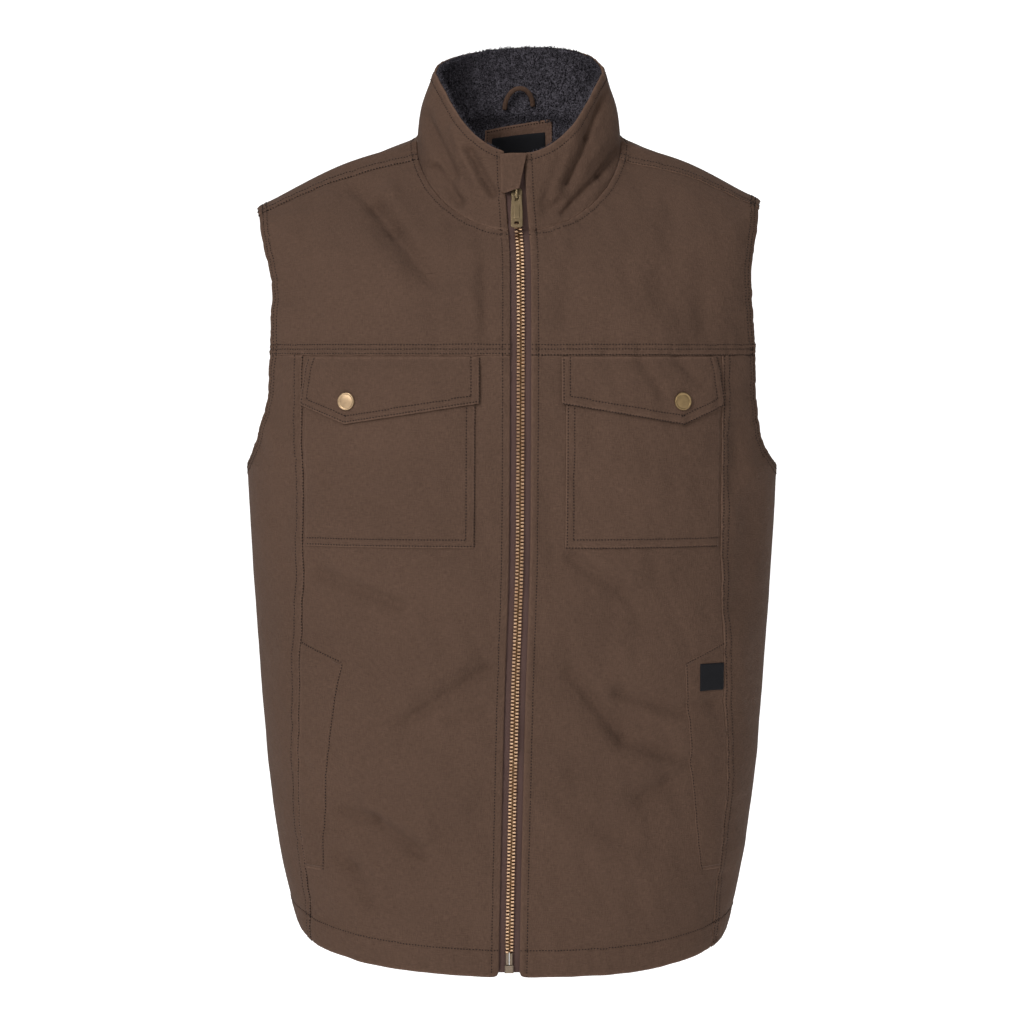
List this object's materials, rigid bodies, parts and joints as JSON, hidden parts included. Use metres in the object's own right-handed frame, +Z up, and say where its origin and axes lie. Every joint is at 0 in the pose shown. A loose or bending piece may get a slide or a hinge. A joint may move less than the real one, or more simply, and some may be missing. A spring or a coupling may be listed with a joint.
{
  "type": "work vest",
  "caption": "Sleeveless canvas work vest with a pile-lined stand collar, a full-length brass zip, flapped chest pockets and slanted hand pockets.",
  "frame": {"origin": "middle of the neck opening, between the inner ends of the shoulder lines", "axes": "+Z up along the wearer's spine, front faces -Y, +X is the wearer's left"},
  "size_m": [0.498, 0.2818, 0.8625],
  "materials": {
    "canvas": "washed cotton canvas, matt brown",
    "pile_lining": "short curly pile, charcoal",
    "zip_tape": "fine woven tape, dark brown",
    "label": "satin woven label, black, blank",
    "brass": "antique brass, worn on its edges"
  },
  "bodies": {
    "vest": {"front_yoke_right": "canvas", "front_yoke_left": "canvas", "front_panel_right": "canvas", "front_panel_left": "canvas", "side_panel_right": "canvas", "side_panel_left": "canvas", "back_yoke": "canvas", "back_panel": "canvas", "collar": "canvas", "neck_patch": "canvas", "hang_loop": "canvas", "zip_garage": "canvas", "chest_pocket_right": "canvas", "chest_pocket_left": "canvas", "pocket_flap_right": "canvas", "pocket_flap_left": "canvas", "hand_pocket_welt_right": "canvas", "hand_pocket_welt_left": "canvas", "collar_lining": "pile_lining", "back_neck_lining": "pile_lining", "zip_tape_right": "zip_tape", "zip_tape_left": "zip_tape", "neck_label": "label", "pocket_label": "label", "zip_chain": "brass", "zip_box": "brass", "zip_slider": "brass", "flap_snap_right": "brass", "flap_snap_left": "brass"},
    "zip_pull": {"zip_pull": "brass"}
  },
  "joints": [
    {"name": "pull_hinge", "type": "hinge", "parent": "vest", "child": "zip_pull", "pos_m": [0.00427, -0.09079, -0.05462], "axis": [-1, 0, 0], "range_deg": [0, 85]}
  ]
}
